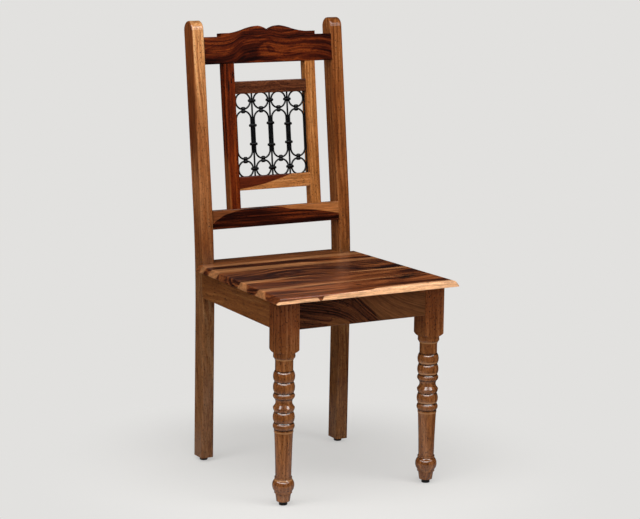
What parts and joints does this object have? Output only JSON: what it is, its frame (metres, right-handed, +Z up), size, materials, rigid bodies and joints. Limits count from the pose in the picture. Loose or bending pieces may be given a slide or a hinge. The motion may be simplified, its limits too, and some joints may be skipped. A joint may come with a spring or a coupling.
{
  "type": "dining chair",
  "caption": "Wooden dining chair with turned front legs, a planked seat, a shaped crest rail and a black wrought-iron grille panel let into the upright back.",
  "frame": {"origin": "centre of the bounding box's footprint, on the floor", "axes": "+X to the right of a person facing the front of the chair, +Y from front to back, +Z up"},
  "size_m": [0.4424, 0.5026, 0.9871],
  "materials": {
    "frame_wood": "satin lacquer on reddish-brown hardwood",
    "seat_wood": "satin lacquer on brown hardwood with pale sapwood bands",
    "black_iron": "satin black paint",
    "glide_plastic": "matte black",
    "steel": "plain steel"
  },
  "bodies": {
    "root": {"back_stile_left": "frame_wood", "back_stile_right": "frame_wood", "crest_rail": "frame_wood", "front_apron": "frame_wood", "front_corner_block_left": "frame_wood", "front_corner_block_right": "frame_wood", "front_glide_left": "glide_plastic", "front_glide_right": "glide_plastic", "front_leg_left": "frame_wood", "front_leg_right": "frame_wood", "grille_bottom_rail": "frame_wood", "grille_bottom_rings": "black_iron", "grille_collars": "black_iron", "grille_knobs": "black_iron", "grille_loops": "black_iron", "grille_rods": "black_iron", "grille_top_rail": "frame_wood", "grille_top_rings": "black_iron", "lower_back_rail": "frame_wood", "rear_apron": "frame_wood", "rear_corner_block_left": "frame_wood", "rear_corner_block_right": "frame_wood", "rear_glide_left": "glide_plastic", "rear_glide_right": "glide_plastic", "rear_leg_left": "frame_wood", "rear_leg_right": "frame_wood", "seat_board_1": "seat_wood", "seat_board_2": "seat_wood", "seat_board_3": "seat_wood", "seat_board_4": "seat_wood", "seat_board_5": "seat_wood", "seat_screws": "steel", "side_apron_left": "frame_wood", "side_apron_right": "frame_wood", "tenon_nails": "steel"}
  },
  "joints": []
}
